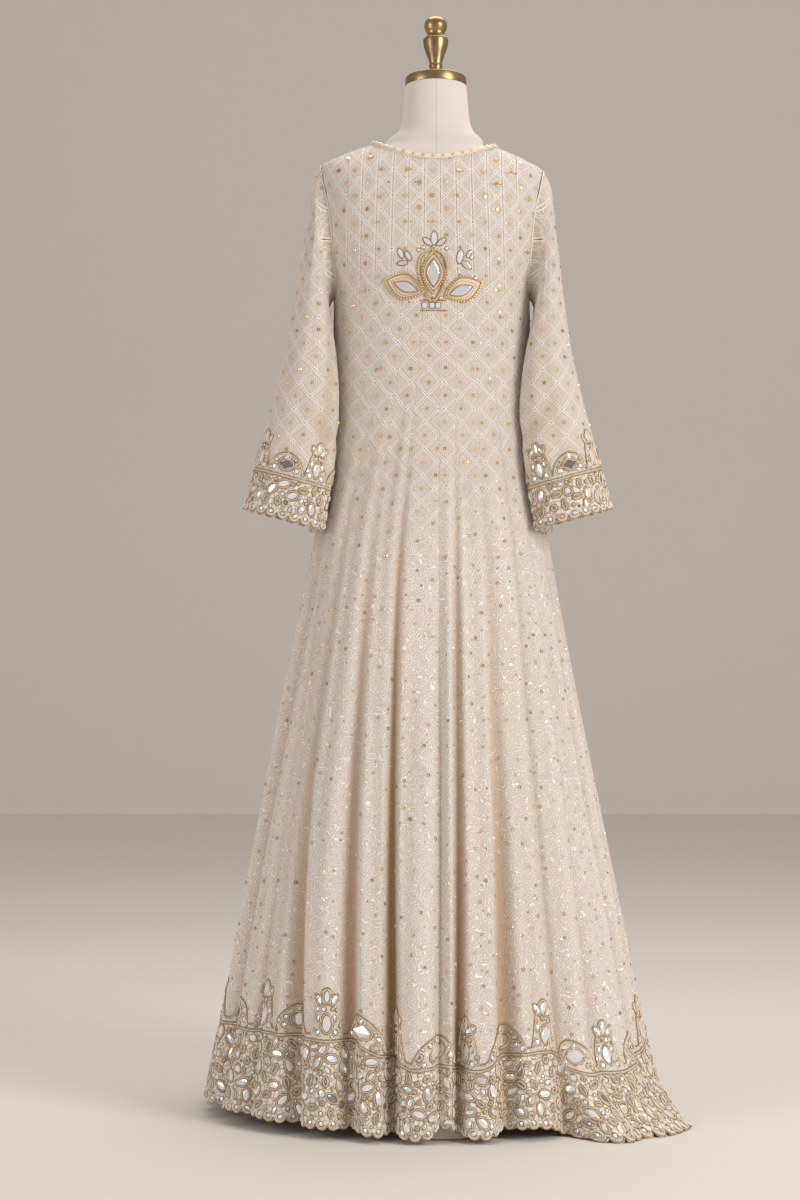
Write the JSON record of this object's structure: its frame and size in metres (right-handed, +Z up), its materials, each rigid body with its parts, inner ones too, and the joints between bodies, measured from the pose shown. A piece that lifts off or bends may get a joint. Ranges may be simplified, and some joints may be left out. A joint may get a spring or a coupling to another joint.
{
  "type": "anarkali gown on a limbless dress form",
  "caption": "Floor-length gored and flared embroidered gown with elbow sleeves, wide shallow neck and a short train, standing on a headless, limbless dress form with a round base.",
  "frame": {"origin": "on the floor, at the centre of the underside of the stand's round base", "axes": "+Z up along the stand's pole; -Y is the way the wearer's back faces; +X is the wearer's right side, where the train lies"},
  "size_m": [0.739, 0.637, 1.7059],
  "materials": {
    "embroidered_cloth": "ivory silk with cord and sequin work, soft sheen",
    "corded_border": "ivory and gold-brown cord work with small mirrors",
    "pale_lining": "plain, matt",
    "neck_binding": "rolled satin with flat gold sequins",
    "gold_cord": "twisted metallic cord",
    "mirror_glass": "small polished mirror",
    "form_cover": "plain linen-cotton cover, matt",
    "satin_brass": "satin, turned",
    "stand_metal": "satin"
  },
  "bodies": {
    "root": {"gore_back_01": "embroidered_cloth", "gore_back_02": "embroidered_cloth", "gore_back_03": "embroidered_cloth", "gore_back_04": "embroidered_cloth", "gore_back_05": "embroidered_cloth", "gore_back_06": "embroidered_cloth", "gore_back_07": "embroidered_cloth", "gore_back_08": "embroidered_cloth", "gore_back_09": "embroidered_cloth", "gore_back_10": "embroidered_cloth", "gore_back_11": "embroidered_cloth", "gore_back_12": "embroidered_cloth", "gore_back_13": "embroidered_cloth", "gore_front_01": "embroidered_cloth", "gore_front_02": "embroidered_cloth", "gore_front_03": "embroidered_cloth", "gore_front_04": "embroidered_cloth", "gore_front_05": "embroidered_cloth", "gore_front_06": "embroidered_cloth", "gore_front_07": "embroidered_cloth", "gore_front_08": "embroidered_cloth", "gore_front_09": "embroidered_cloth", "gore_front_10": "embroidered_cloth", "gore_front_11": "embroidered_cloth", "gore_front_12": "embroidered_cloth", "gore_front_13": "embroidered_cloth", "border_back_left": "corded_border", "border_back_middle": "corded_border", "border_back_right": "corded_border", "border_front_left": "corded_border", "border_front_middle": "corded_border", "border_front_right": "corded_border", "lining_hem": "pale_lining", "sleeve_left": "embroidered_cloth", "cuff_left": "corded_border", "sleeve_right": "embroidered_cloth", "cuff_right": "corded_border", "binding_back": "neck_binding", "binding_front": "neck_binding", "medallion_centre": "gold_cord", "mirror_centre": "mirror_glass", "medallion_left": "gold_cord", "mirror_left": "mirror_glass", "medallion_right": "gold_cord", "mirror_right": "mirror_glass", "form_torso": "form_cover", "neck_cap": "satin_brass", "finial": "satin_brass", "stand_base": "stand_metal", "stand_pole": "stand_metal"}
  },
  "joints": []
}
